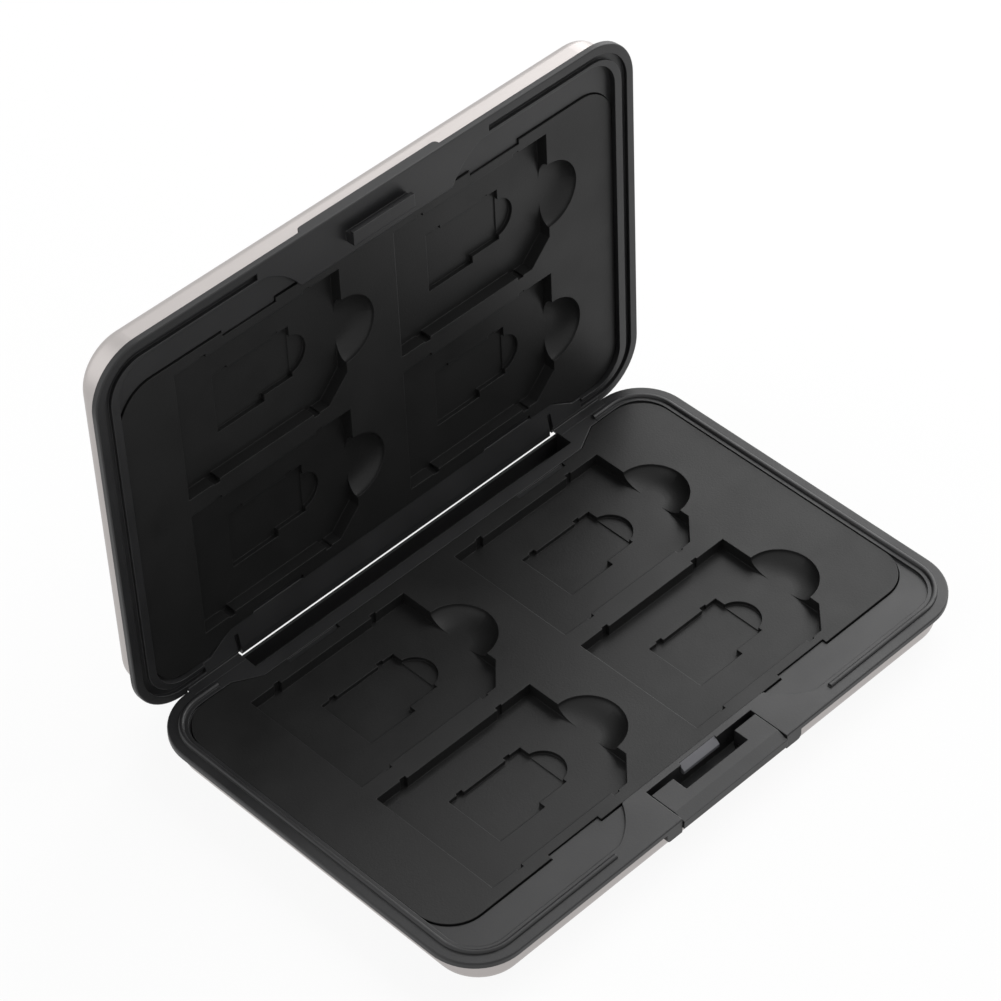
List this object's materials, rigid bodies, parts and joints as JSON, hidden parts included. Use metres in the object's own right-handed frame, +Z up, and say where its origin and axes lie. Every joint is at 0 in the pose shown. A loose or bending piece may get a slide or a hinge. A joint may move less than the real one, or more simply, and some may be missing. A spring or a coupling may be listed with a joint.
{
  "type": "memory card case",
  "caption": "Slim hinged aluminium case for memory cards, standing open, with moulded card pockets in base and lid and a press latch at the front.",
  "frame": {"origin": "centre of the base's underside", "axes": "+X along the hinge, +Y from the latch to the hinge, +Z up out of the base"},
  "size_m": [0.1094, 0.0808, 0.0769],
  "materials": {
    "shell_aluminium": "satin anodised",
    "frame_plastic": "fine matt moulded",
    "tray_plastic": "matt moulded",
    "lever_plastic": "fine matt moulded",
    "buffer_plastic": "matt grey",
    "steel": "bright drawn",
    "adhesive_tape": "matt film"
  },
  "bodies": {
    "base": {"base_shell": "shell_aluminium", "base_tape": "adhesive_tape", "base_frame": "frame_plastic", "base_card_tray": "tray_plastic", "hinge_strap_left": "frame_plastic", "hinge_strap_right": "frame_plastic", "latch_pin_left": "steel", "latch_pin_right": "steel", "latch_spring": "steel", "catch_buffer": "buffer_plastic"},
    "lid": {"lid_shell": "shell_aluminium", "lid_tape": "adhesive_tape", "lid_frame": "frame_plastic", "lid_card_tray": "tray_plastic"},
    "latch": {"latch_lever": "lever_plastic"}
  },
  "joints": [
    {"name": "lid_hinge", "type": "hinge", "parent": "base", "child": "lid", "pos_m": [0, 0.03532, 0.00595], "axis": [1, 0, 0], "range_deg": [0, 92], "deforming": ["hinge_strap_left", "hinge_strap_right"]},
    {"name": "latch_pivot", "type": "hinge", "parent": "base", "child": "latch", "pos_m": [0, -0.0303, 0.0033], "axis": [1, 0, 0], "range_deg": [0, 8], "stiffness_Nm_per_rad": 0.02, "springref_deg": -5.73, "deforming": ["latch_spring"]}
  ]
}
